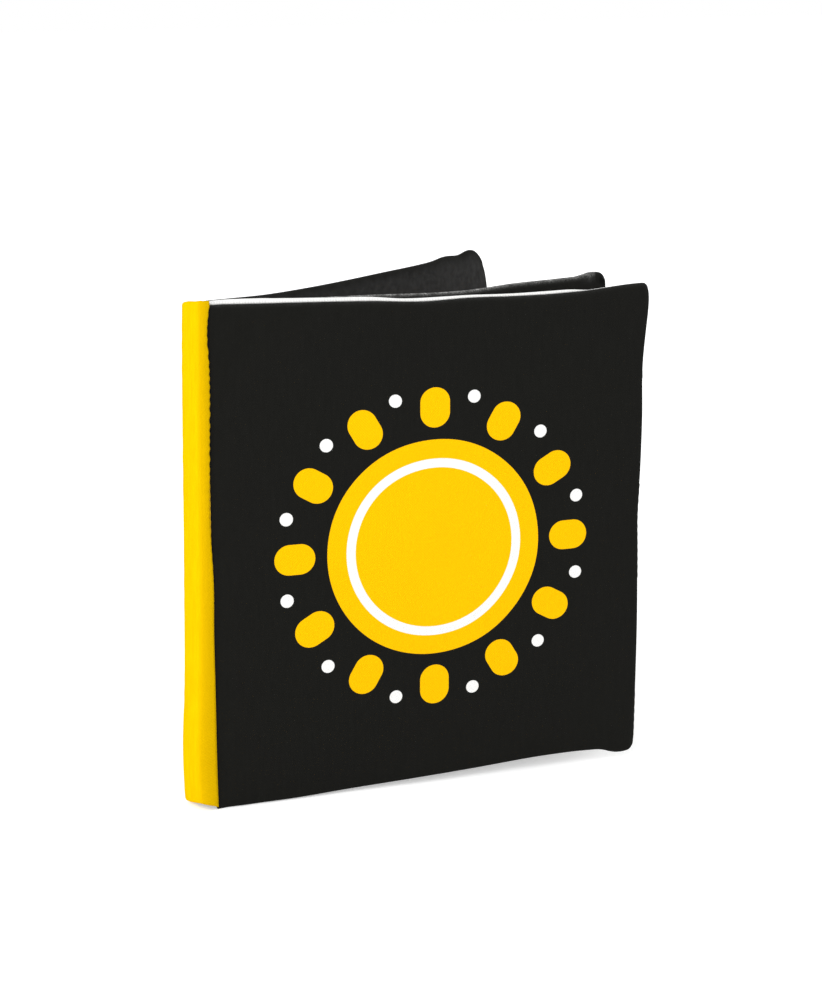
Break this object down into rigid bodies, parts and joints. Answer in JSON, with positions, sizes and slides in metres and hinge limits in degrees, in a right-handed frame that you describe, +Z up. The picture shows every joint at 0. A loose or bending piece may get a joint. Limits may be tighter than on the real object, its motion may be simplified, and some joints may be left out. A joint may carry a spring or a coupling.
{
  "type": "crinkle book",
  "caption": "Soft cloth baby book: padded covers and a padded inner leaf hinged on a cloth spine, with crackling film sewn inside, standing fanned open.",
  "frame": {"origin": "bottom centre of the book's own box as it stands open, on the surface that it stands on", "axes": "+Z up along the spine; +X from the spine towards the leaves' free edges; +Y from the front cover towards the back cover"},
  "size_m": [0.1386, 0.078, 0.1505],
  "materials": {
    "black_cloth": "matt black woven cloth, with a yellow and white print on the front cover",
    "white_cloth": "matt white woven cloth",
    "yellow_cloth": "matt yellow woven cloth",
    "wadding": "white fibre wadding",
    "crinkle_film": "thin clear crackling film",
    "black_thread": "black sewing thread",
    "yellow_thread": "yellow sewing thread"
  },
  "bodies": {
    "spine": {"spine_cover": "yellow_cloth", "spine_lining": "black_cloth", "spine_wadding": "wadding", "front_spine_seam_thread": "yellow_thread", "rear_spine_seam_thread": "yellow_thread", "centre_gutter_tape": "black_cloth", "centre_gutter_thread": "black_thread"},
    "front_cover": {"front_cover_outer_panel": "black_cloth", "front_cover_lining_panel": "white_cloth", "front_cover_crinkle_film": "crinkle_film", "front_cover_wadding": "wadding", "front_cover_edge_thread": "black_thread"},
    "inner_leaf": {"inner_leaf_front_panel": "black_cloth", "inner_leaf_rear_panel": "black_cloth", "inner_leaf_crinkle_film": "crinkle_film", "inner_leaf_wadding": "wadding", "inner_leaf_edge_thread": "black_thread"},
    "back_cover": {"back_cover_lining_panel": "black_cloth", "back_cover_outer_panel": "black_cloth", "back_cover_crinkle_film": "crinkle_film", "back_cover_wadding": "wadding", "back_cover_edge_thread": "black_thread"}
  },
  "joints": [
    {"name": "front_cover_hinge", "type": "hinge", "parent": "spine", "child": "front_cover", "pos_m": [-0.06579, -0.0066, 0], "axis": [0, 0, 1], "range_deg": [-165.7, 14.2]},
    {"name": "inner_leaf_hinge", "type": "hinge", "parent": "spine", "child": "inner_leaf", "pos_m": [-0.06319, 0, 0], "axis": [0, 0, 1], "range_deg": [-76.3, 6.6]},
    {"name": "back_cover_hinge", "type": "hinge", "parent": "spine", "child": "back_cover", "pos_m": [-0.06579, 0.0066, 0], "axis": [0, 0, 1], "range_deg": [-14.2, 165.7]}
  ],
  "couplings": [
    {"joint": "inner_leaf_hinge", "follows": "front_cover_hinge", "ratio": 0.46}
  ]
}
